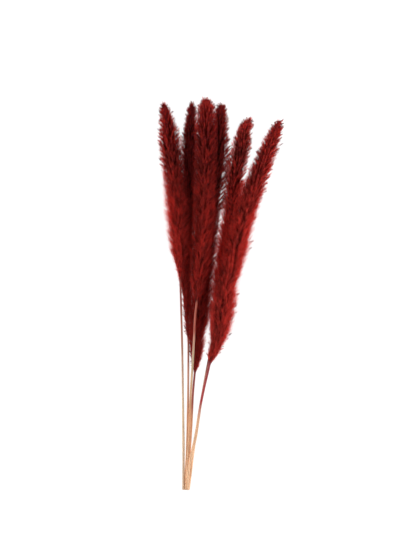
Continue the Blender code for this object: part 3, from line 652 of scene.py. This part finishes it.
def make_down(grass, branches, rng):
    """The down: each hair is a narrow kite of two triangles, bent where it is widest.

    A hair starts at a share s of its branch and leaves it at a small angle, to any side.
    Its end is then drawn towards the branch's own line and the end of its lobe, which
    gathers the hairs into tufts. Where the plume is crisp, a share of a branch's hairs meet in
    a point past its end and make a spike. A kite's face looks outward, or to any side if the
    hair is a loose one.
    """
    half = half_width(grass, branches.end_y)
    widest = grass.plume_radius * MM
    weight = (0.42 + 0.70 * half / widest) * np.where(branches.tuft, 1.1, 0.9)
    weight = weight * (1 - 0.35 * np.clip(-np.sin(branches.turn), 0, 1))
    hairs = HAIR_DENSITY * grass.plume_radius * (grass.tip - grass.foot) / MM
    per = np.where(branches.stray, STRAY_HAIRS, weight * hairs / weight.sum())
    per = np.where(branches.haze, HAZE_HAIRS, per)
    bare = branches.bare()
    per = np.where(bare, 0.3 * per, per)
    i = np.repeat(np.arange(len(per)), np.maximum(per, 8).astype(int))
    count = len(i)
    branch_crisp = crispness(grass, branches.end_y)
    crisp = branch_crisp[i]
    loose = (rng.random(count) < grass.loose) | branches.haze[i]
    spiky = (branches.tuft & (rng.random(len(per)) < 0.1 + 0.75 * branch_crisp)) | branches.stray
    slim = 1 - np.clip(half / widest, 0, 1)
    share = np.where(bare, 0.95, 0.36 + 0.3 * slim)[i]
    spike = (spiky | bare)[i] & (rng.random(count) < share) & ~branches.haze[i]
    s = 1 - 0.72 * rng.random(count) ** 1.1
    which = (rng.random(count) < 0.38).astype(int)
    s = np.where(spike, branches.start[i, which] - 0.16 * rng.random(count), s)
    root = branches.at(i, s)
    along, out, side = branches.frame(i, s)
    length = MM * (13.0 - 5.0 * crisp) * rng.uniform(0.62, 1.22, count)
    room = 0.55 + 0.45 * np.clip(half[i] / (0.75 * widest), 0, 1)
    length = length * room
    angle = np.radians(4 + rng.gamma(2.0, 8.5, count) * (1.15 - 0.35 * crisp))
    roll = rng.normal(0, 1.25, count)
    spread = np.cos(roll)[:, None] * out + np.sin(roll)[:, None] * side
    aim = np.cos(angle)[:, None] * along + np.sin(angle)[:, None] * spread
    gather = (0.12 + 0.12 * crisp)[:, None]
    branch_end = branches.at(i, 1)
    end_along = branches.along(i, 1)
    aim = unit(aim * (1 - gather) + unit(branch_end + 5 * MM * end_along - root) * gather)
    lobes = grow_lobes(grass, rng)
    _, lobe = lobes.height(branches.end_y, branches.turn)
    top = np.maximum(lobes.end_y[lobe], branches.end_y) + 6 * MM
    lobe_end = in_plume(grass, top, 1.02 * half_width(grass, top), lobes.turn[lobe])
    pull = (0.24 - 0.04 * crisp)[:, None]
    aim = unit(aim * (1 - pull) + unit(lobe_end[i] - root) * pull)
    branch_reach = rng.normal(1, 0.05 + 0.05 * branch_crisp)[i]
    grown = root + length[:, None] * aim
    height, _ = lobes.height(grown[:, 1], angle_round(grass, grown))
    end = brushed(grass, grown, branch_reach * (0.92 + 0.20 * height), loose)
    root = root + 0.7 * (end - grown)
    base, way = branches.spike(i, which)
    spike_length = branches.reach[i, which] - 2.6 * MM * rng.random(count) ** 2
    point = base + spike_length[:, None] * way + 0.26 * MM * rng.normal(0, 1, (count, 3))
    end = np.where(spike[:, None], point, end)
    root = root + 0.5 * MM * (side * rng.normal(0, 1, (count, 1))
                              + out * rng.normal(0, 1, (count, 1)))
    bow = (length * rng.normal(-0.05, 0.05, count))[:, None]
    middle = root + 0.42 * (end - root) + bow * out
    line = unit(end - root)
    face = np.where(loose, rng.uniform(-np.pi / 2, np.pi / 2, count), rng.normal(0, 0.5, count))
    facing = np.cos(face)[:, None] * out + np.sin(face)[:, None] * side
    across = unit(np.cross(line, facing))
    width = HAIR_HALF_WIDTH * rng.uniform(0.75, 1.25, count)[:, None]
    points = np.stack([root, middle - width * across, middle + width * across, end], 1)
    points = over_surface(points).reshape(-1, 3)
    triangles = repeated(np.array([(0, 2, 1), (1, 2, 3)]), count)

    # Painted shade and light: a hair that ends deep in the plume is darker, one that ends at or
    # past its outline lighter, and a loose one lighter still.
    offset = end - in_plume(grass, end[:, 1], 0.0, 0.0)
    reach = np.hypot(offset[:, 0], offset[:, 2] / FLATNESS) / np.maximum(
        half_width(grass, end[:, 1]), 3 * MM)
    tuft_shade = rng.normal(0, 0.09, (len(per), SPIKES)) + rng.normal(0, 0.08, (len(per), 1))
    # Painted shade: darker at the roots of the lobes and between them, where the lobe above lies
    # over them, lighter at their ends.
    tuft_shade = tuft_shade[i, which] + 0.30 * (height - 0.38)
    shade = (shade_along(grass, end[:, 1]) + tuft_shade - 0.16 + mottle_and_side_light(grass, end, rng)
             + 1.2 * (np.clip(reach, 0.4, 0.9) - 0.88) + 3.0 * np.clip(reach - 0.90, 0, 0.25)
             + rng.normal(0, 0.12, count) + 0.15 * loose)
    shade = np.clip(shade, 0.02, 0.98)
    # Painted light: all hair ends take more of the bright tip colour where the fringe light is
    # high, and the outer and loose hairs take it along more of their length.
    pale = branches.pale[i][:, None]
    outer = ((loose & (reach > 0.85)) | branches.haze[i])[:, None]
    edge = 0.006
    u = np.stack([shade, shade - edge, shade + edge, shade], 1)
    painted_fringe_lift = np.where(outer, pale, 0) * [0.33, 0.36, 0.36, 0]
    v = painted_fringe_lift + [0.02, 0.42, 0.42, 0.66] + pale * [0, 0, 0, 0.32]
    chart = np.stack([np.clip(u, 0.005, 0.995), v], -1)
    return Skin(points, triangles, chart.reshape(-1, 2), 0)


def make_heart(grass):
    """The dense middle that no light passes: the CAD plume's tufted grid, drawn in.

    Rows along the plume and columns round it. Tufts stand out to 0.66 of the outline and the
    grid points between them to 0.42.
    """
    tuft = cad_tufts(grass)["tuft"].reshape(-1, COLUMNS)
    rows = len(tuft)
    row, column = np.indices(tuft.shape)
    y = np.linspace(grass.foot + 3 * MM, grass.tip - 14 * MM, rows)[row] + np.where(tuft, 9 * MM, 0)
    y = np.minimum(y, grass.tip - 9 * MM)
    half = half_width(grass, y)
    turn = 2 * np.pi * (column + TWIST * row) / COLUMNS
    radius = np.where(tuft, 0.66, 0.42) * half * np.minimum(fullness(grass, y, turn), 1)
    radius = np.maximum(radius, 1.5 * MM)
    grid = over_surface(in_plume(grass, y, radius, turn)).reshape(-1, 3)
    ends = in_plume(grass, np.array([grass.foot + 1 * MM, grass.tip - 6 * MM]), 0.0, 0.0)
    points = np.concatenate([grid, ends])
    # Painted shade: the heart is darker than the down, 0.7 of its shade, and darker still, with
    # less tip colour, at the grid points between the tufts, which lie deeper.
    shade = np.clip(0.7 * shade_along(grass, y) - np.where(tuft, 0.0, 0.15), 0.05, 0.95)
    u = np.concatenate([shade.ravel(), [0.1, 0.1]])
    v = np.concatenate([np.where(tuft, 0.35, 0.15).ravel(), [0.05, 0.05]])
    return Skin(points, tube_faces(rows, COLUMNS)[:, ::-1], np.stack([u, v], -1), 0)


def make_husks(grass, branches, rng):
    """Pointed husks: a long body with two rings of four points, closed by a point at each end.

    They stand at the ends of the branches and a little below, most of them where the plume is
    crisp.
    """
    crisp = crispness(grass, branches.end_y)
    wanted = np.where(branches.tuft, 0.35 + 1.0 * crisp, 0.5 + 2.2 * crisp)
    wanted = np.where(branches.stray, 4.0, wanted)
    wanted = np.where(branches.haze, 0.0, wanted)
    number = np.floor(wanted + rng.random(len(wanted))).astype(int)
    i = np.repeat(np.arange(len(number)), number)
    count = len(i)
    which = (rng.random(count) < 0.3).astype(int)
    base, way = branches.spike(i, which)
    length = MM * rng.uniform(*HUSK_LENGTH, count)
    width = MM * rng.uniform(*HUSK_HALF_WIDTH, count)[:, None, None]
    at_point = rng.random(count) < 0.6
    further = np.where(at_point, branches.reach[i, which] - length, -3 * MM * rng.random(count))
    aim = unit(way + np.where(at_point, 0.05, 0.18)[:, None] * rng.normal(0, 1, (count, 3)))
    root = base + further[:, None] * way
    _, out, _ = branches.frame(i, 1)
    share = np.array([0.0, 0.30, 0.62, 1.0])
    path = root[:, None] + share[:, None] * (length[:, None] * aim)[:, None]
    path = path + (0.10 * share ** 2)[:, None] * (length[:, None] * out)[:, None]
    across = unit(np.cross(aim, out))
    upward = np.cross(across, aim)
    turn = -np.pi / 2 * np.arange(4)
    ring = (np.cos(turn)[:, None] * across[:, None]
            + 0.7 * np.sin(turn)[:, None] * upward[:, None])
    low = path[:, 1:2] + width * ring
    high = path[:, 2:3] + 0.72 * width * ring
    points = over_surface(np.concatenate([low, high, path[:, :1], path[:, 3:]], axis=1))
    u = np.clip(0.5 + rng.normal(0, 0.2, count), 0.03, 0.97)[:, None]
    u = u + 0.012 * np.array([-1, 0, 1, 0, -1, 0, 1, 0, 0, 0])
    v = np.broadcast_to([0.3] * 4 + [0.62] * 4 + [0.02, 0.98], u.shape)
    chart = np.stack([u, v], -1).reshape(-1, 2)
    return Skin(points.reshape(-1, 3), repeated(tube_faces(2, 4), count), chart, 1)


def make_stalks(grass, branches, rng):
    """The stalk through the plume and the bare part of each main branch, as thin tubes."""
    y = np.linspace(grass.foot + 0.2 * MM, grass.tip - 12 * MM, 44)
    stalk = in_plume(grass, y, 0.0, 0.0)[None]
    radii = np.linspace(grass.stem_radii[1] * MM, 0.35 * MM, len(y))[None]
    skins = [tube(stalk, radii, 6, np.array([0.45]), 2)]
    i = np.flatnonzero(branches.tuft)
    share = np.array([0.0, 0.5, 0.97])
    path = branches.at(np.repeat(i, 3), np.tile(share, len(i))).reshape(len(i), 3, 3)
    thick = np.broadcast_to(np.array([0.34, 0.24, 0.12]) * MM, (len(i), 3))
    skins.append(tube(over_surface(path), thick, 3, rng.uniform(0.2, 0.8, len(i)), 2))
    return skins


# Stems

def make_stem(grass):
    """A culm: rings of fourteen points along the route, with fine flutes and a cut end.

    The radius is the taper from the cut end to the plume, times 1 plus shallow waves round
    the culm that drift slowly along it, and a long low swelling in its lower part.
    """
    rng = np.random.default_rng(80 + grass.number)
    y = np.linspace(CUT_Y, grass.foot + 6 * MM, STEM_RINGS)
    route = grass.stem_route + grass.plume_route[:1]
    path = smooth_route(route, np.minimum(y, grass.foot))
    beyond = smooth_route(grass.plume_route, np.maximum(y, grass.foot))
    centres = np.where((y > grass.foot)[:, None], beyond, path)
    low, high = grass.stem_radii
    turn = 2 * np.pi * np.arange(STEM_SIDES) / STEM_SIDES
    phase = rng.uniform(0, 2 * np.pi, 3)
    share = np.linspace(0, 1, STEM_RINGS)[:, None]
    waves = (0.035 * np.sin(5 * turn + phase[0] + 2 * share)
             + 0.025 * np.sin(7 * turn + phase[1] - 3 * share)
             + 0.02 * np.sin(40 * share + phase[2]))
    swelling = 0.17 * np.exp(-((y / MM + 225) / 45) ** 2)[:, None]
    radius = MM * (low + (high - low) * share) * (1 + waves + swelling)
    around = np.stack([np.cos(turn), np.zeros(STEM_SIDES), np.sin(turn)], -1)
    wall = centres[:, None] + radius[..., None] * around
    pith, rim = (centres[:1, None] + size * radius[:1, :, None] * around + [0, inward * MM, 0]
                 for size, inward in ((0.45, 0.15), (0.86, -0.25)))
    grid = np.concatenate([pith, rim, wall])
    grid[:, :, 2] = np.maximum(grid[:, :, 2], 0.02 * MM)
    middle = centres[:1] + [0, 0.3 * MM, 0]
    points = np.concatenate([grid.reshape(-1, 3), middle, centres[-1:]])
    triangles = tube_faces(len(grid), STEM_SIDES)[:, ::-1]
    v = np.concatenate([[0.0, 0.01], np.linspace(0.03, 0.98, STEM_RINGS)])
    u = 0.05 + 0.9 * np.abs(np.linspace(-1, 1, STEM_SIDES, endpoint=False))
    chart = np.stack(np.meshgrid(u, v), -1).reshape(-1, 2)
    chart = np.concatenate([chart, [[0.5, 0.0], [0.5, 1.0]]])
    return Skin(points, triangles, chart, 0)


# Materials

def feed(tree, node, inputs):
    """Gives each input named its value, or a link where that is another node's output."""
    for name, value in inputs.items():
        if isinstance(value, bpy.types.NodeSocket):
            tree.links.new(value, node.inputs[name])
        else:
            node.inputs[name].default_value = value
    return node


def add_node(tree, kind, inputs):
    return feed(tree, tree.nodes.new(kind), inputs)


def calculate(tree, operation, *inputs):
    node = tree.nodes.new("ShaderNodeMath")
    node.operation = operation
    return feed(tree, node, dict(enumerate(inputs))).outputs[0]


def map_range(tree, value, low, high, to_low=0.0, to_high=1.0):
    limits = {"From Min": low, "From Max": high, "To Min": to_low, "To Max": to_high}
    return add_node(tree, "ShaderNodeMapRange", {"Value": value, **limits}).outputs["Result"]


def mix_colours(tree, share, first, second, blend="MIX"):
    node = tree.nodes.new("ShaderNodeMix")
    node.data_type = "RGBA"
    node.blend_type = blend
    return feed(tree, node, {"Factor": share, "A": first, "B": second}).outputs["Result"]


def dyed_fibre_group():
    """Colour of a dyed fibre from its shade and the place along it.

    Shade goes from the deep colour over the full one to the pale one, and it rises along the fibre,
    so that the root is darker: painted shade where the tufts above cover the roots. Towards the
    fibre's end, where it is thin and dry, the colour turns to the tip colour; for the down this is
    bright, partly the paler dry end and partly painted light shining through the thin end.
    """
    group = bpy.data.node_groups.new("dyed fibre", "ShaderNodeTree")
    values, colours = ("Shade", "Along", "Tip share"), ("Deep", "Full", "Pale", "Tip")
    for label in values + colours:
        kind = "NodeSocketFloat" if label in values else "NodeSocketColor"
        group.interface.new_socket(label, in_out="INPUT", socket_type=kind)
    group.interface.new_socket("Colour", in_out="OUTPUT", socket_type="NodeSocketColor")
    start = group.nodes.new("NodeGroupInput").outputs
    # Painted shade at the root: the shade rises by 0.45 along the fibre.
    rise = calculate(group, "MULTIPLY_ADD", start["Along"], 0.45, start["Shade"])
    shade = calculate(group, "SUBTRACT", rise, 0.22)
    body = mix_colours(group, map_range(group, shade, 0, 0.5), start["Deep"], start["Full"])
    pale = mix_colours(group, map_range(group, shade, 0.5, 1), body, start["Pale"])
    # The tip colour: for the down partly the paler dry end, partly painted light shining through
    # it.
    power = calculate(group, "POWER", start["Along"], 2.0)
    amount = calculate(group, "MULTIPLY", power, start["Tip share"])
    tipped = mix_colours(group, amount, pale, start["Tip"])
    add_node(group, "NodeGroupOutput", {"Colour": tipped})
    return group


def new_material(name, roughness, specular):
    material = bpy.data.materials.new(name)
    material.use_nodes = True
    tree = material.node_tree
    shader = feed(tree, tree.nodes["Principled BSDF"],
                  {"Roughness": roughness, "Specular IOR Level": specular})
    return material, tree, shader


def fibre_material(name, group, colours, tip_share, roughness, specular, glow=0.0):
    """A dyed fibre's finish. Its chart's U is the shade and its V the place along the fibre.

    glow is the share of the finish that lets light through from behind.
    """
    material, tree, shader = new_material(name, roughness, specular)
    chart = tree.nodes.new("ShaderNodeUVMap")
    chart.uv_map = "OFBake"
    split = add_node(tree, "ShaderNodeSeparateXYZ", {0: chart.outputs["UV"]})
    fibre = tree.nodes.new("ShaderNodeGroup")
    fibre.node_tree = group
    feed(tree, fibre, {"Shade": split.outputs["X"], "Along": split.outputs["Y"],
                       "Tip share": tip_share})
    feed(tree, fibre, {label.capitalize(): (*value, 1) for label, value in colours.items()})
    colour = fibre.outputs["Colour"]
    feed(tree, shader, {"Base Color": colour})
    if glow:
        through = add_node(tree, "ShaderNodeBsdfTranslucent", {"Color": colour})
        both = add_node(tree, "ShaderNodeMixShader",
                        {"Fac": glow, 1: shader.outputs[0], 2: through.outputs[0]})
        feed(tree, tree.nodes["Material Output"], {"Surface": both.outputs[0]})
    return material


def stem_material(grass):
    """Dried culm: colour stations along Y, long fibre streaks, and a bump from the same."""
    material, tree, shader = new_material(f"dried culm {grass.number}", 0.5, 0.45)
    place = tree.nodes.new("ShaderNodeTexCoord").outputs["Object"]
    split = add_node(tree, "ShaderNodeSeparateXYZ", {0: place})
    stations = grass.stem_colours
    low, high = stations[0][0] * MM, stations[-1][0] * MM
    height = map_range(tree, split.outputs["Y"], low, high)
    wander = add_node(tree, "ShaderNodeTexNoise", {"Vector": place, "Scale": 60})
    shifted = calculate(tree, "MULTIPLY_ADD", wander.outputs["Fac"], 0.05, height)
    ramp = add_node(tree, "ShaderNodeValToRGB", {"Fac": shifted})
    while len(ramp.color_ramp.elements) < len(stations):
        ramp.color_ramp.elements.new(0.5)
    for element, (y, colour) in zip(ramp.color_ramp.elements, stations):
        element.position = 0.025 + 0.975 * (y * MM - low) / (high - low)
        element.color = (*colour, 1)
    stretch = add_node(tree, "ShaderNodeMapping", {"Vector": place, "Scale": (700, 14, 700)})
    noise = {"Vector": stretch.outputs["Vector"], "Scale": 1.0, "Detail": 1}
    streaks = add_node(tree, "ShaderNodeTexNoise", noise).outputs["Fac"]
    tone = map_range(tree, streaks, 0.3, 0.7, 0.62, 1.12)
    colour = mix_colours(tree, 0.55, ramp.outputs["Color"], tone, "MULTIPLY")
    bump = add_node(tree, "ShaderNodeBump",
                    {"Height": streaks, "Strength": 0.3, "Distance": 0.1 * MM})
    feed(tree, shader, {"Base Color": colour, "Normal": bump.outputs["Normal"]})
    return material


def make_grass(grass, fibre):
    rng = np.random.default_rng(400 + grass.number)
    branches = grow_branches(grass, rng)
    down = fibre_material(f"dyed down {grass.number}", fibre, grass.colours, 0.9, 0.85, 0.0, 0.7)
    husk = fibre_material(f"dark husk {grass.number}", fibre, HUSK_DYE, 0.8, 0.6, 0.12)
    stalk = fibre_material(f"dyed stalk {grass.number}", fibre, STALK_DYE, 0.6, 0.6, 0.4)
    skins = [make_down(grass, branches, rng), make_heart(grass),
             make_husks(grass, branches, rng), *make_stalks(grass, branches, rng)]
    plume = make_piece(f"downy_plume_{grass.number}", skins, [down, husk, stalk])
    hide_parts(f"plume_{grass.number}")
    culm = make_piece(f"culm_{grass.number}", [make_stem(grass)], [stem_material(grass)])
    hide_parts(f"stem_{grass.number}")


# Camera, floor and light

def make_camera():
    """Straight above, with +Y up in the picture. The frame is 642.6 by 856.8 mm at the bunch."""
    data = bpy.data.cameras.new("camera")
    data.lens = 150
    data.sensor_width = 36
    data.clip_end = 50
    camera = bpy.data.objects.new("camera", data)
    bpy.context.scene.collection.objects.link(camera)
    picture_height, bunch_height = 0.8568, 0.012
    distance = picture_height * data.lens / data.sensor_width
    camera.location = (-0.0161, 0.0214, bunch_height + distance)
    bpy.context.scene.camera = camera


def make_floor():
    size = 6.0
    mesh = bpy.data.meshes.new("white_surface")
    corners = [(-size, -size, 0), (size, -size, 0), (size, size, 0), (-size, size, 0)]
    mesh.from_pydata(corners, [], [(0, 1, 2, 3)])
    material, tree, shader = new_material("white surface", 0.9, 0.1)
    feed(tree, shader, {"Base Color": (0.12, 0.12, 0.12, 1), "Emission Color": (1, 1, 1, 1),
                        "Emission Strength": FLOOR_GLOW})
    mesh.materials.append(material)
    floor = bpy.data.objects.new("white_surface", mesh)
    bpy.context.scene.collection.objects.link(floor)


def soft_box(name, place, aim, size, power):
    """A square lamp at place that faces aim."""
    data = bpy.data.lights.new(name, "AREA")
    data.shape = "RECTANGLE"
    data.size, data.size_y = size
    data.energy = power
    lamp = bpy.data.objects.new(name, data)
    lamp.location = place
    lamp.rotation_euler = (Vector(aim) - Vector(place)).to_track_quat("-Z", "Y").to_euler()
    bpy.context.scene.collection.objects.link(lamp)


def make_light():
    soft_box("left soft box", (-1.3, 0.05, 0.60), (0, 0.05, 0), (1.0, 1.4), 20.5)
    soft_box("right soft box", (1.3, 0.05, 0.60), (0, 0.05, 0), (1.0, 1.4), 24.5)
    soft_box("overhead soft box", (0.0, 0.3, 1.9), (0, 0, 0), (1.2, 1.2), 9.5)
    world = bpy.data.worlds.new("white studio")
    bpy.context.scene.world = world
    world.use_nodes = True
    sky = world.node_tree.nodes["Background"]
    feed(world.node_tree, sky, {"Color": (1, 1, 1, 1), "Strength": 0.16})
    bpy.context.scene.view_settings.view_transform = "Standard"


make_camera()
make_floor()
make_light()
fibre_group = dyed_fibre_group()
for grass in GRASSES:
    make_grass(grass, fibre_group)
